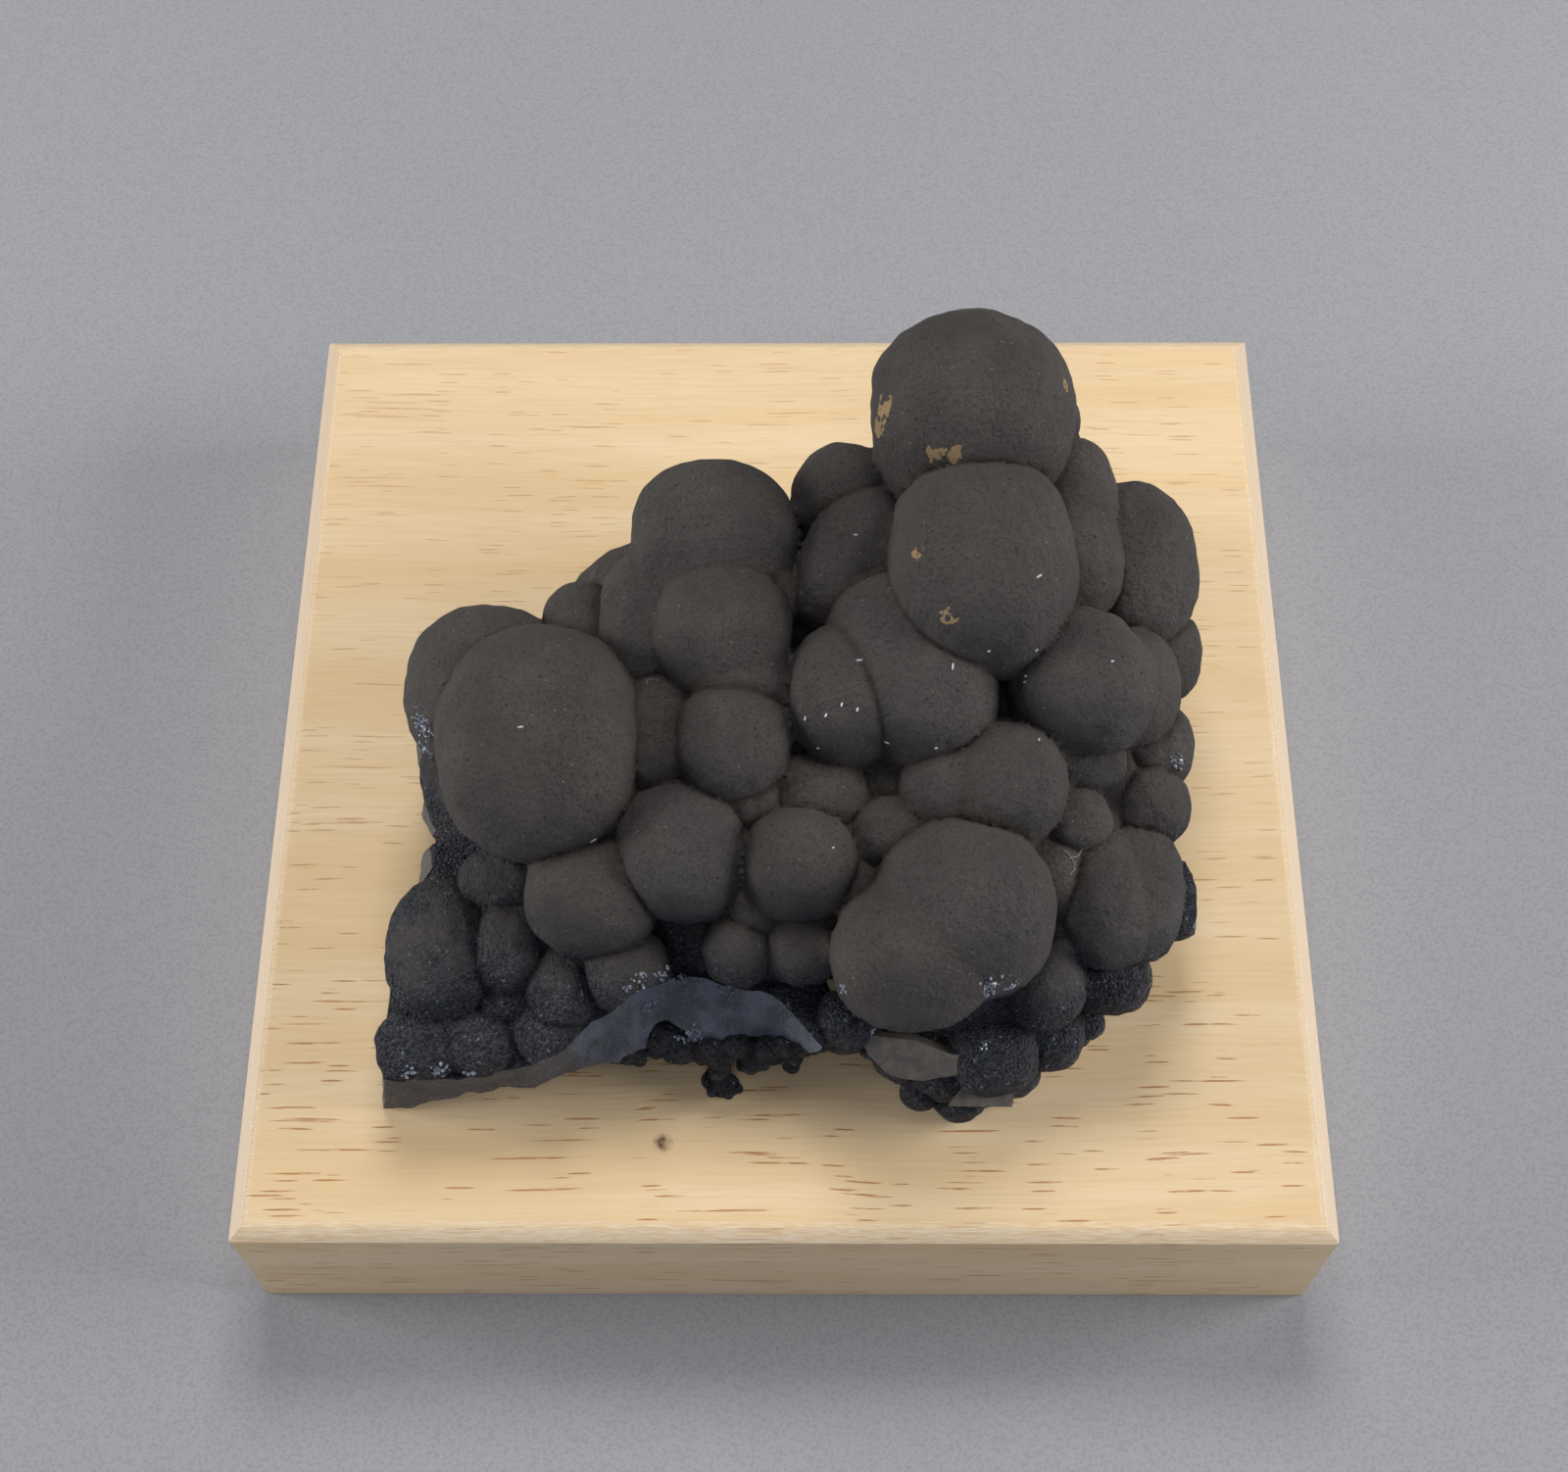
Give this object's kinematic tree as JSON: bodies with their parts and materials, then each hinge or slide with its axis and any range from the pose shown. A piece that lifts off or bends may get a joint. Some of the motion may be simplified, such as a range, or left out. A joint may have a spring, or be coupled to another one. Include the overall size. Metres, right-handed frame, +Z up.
{
  "type": "romanechite specimen on a display board",
  "caption": "Dark botryoidal mineral specimen, rounded lumps grown together with a broken front edge and a hollow below it, resting on a square bevelled pine board.",
  "frame": {"origin": "bottom centre of the board, in the plane it stands on", "axes": "+Z up, +X to the right and +Y to the back as the specimen is shown, -Y towards the viewer"},
  "size_m": [0.1016, 0.1016, 0.0591],
  "materials": {
    "romanechite": "matt, velvety, with blue-black granular sides and smooth grey fractures",
    "pine": "planed and sanded pale pine, unvarnished"
  },
  "bodies": {
    "root": {"romanechite": "romanechite", "pine_board": "pine"}
  },
  "joints": []
}
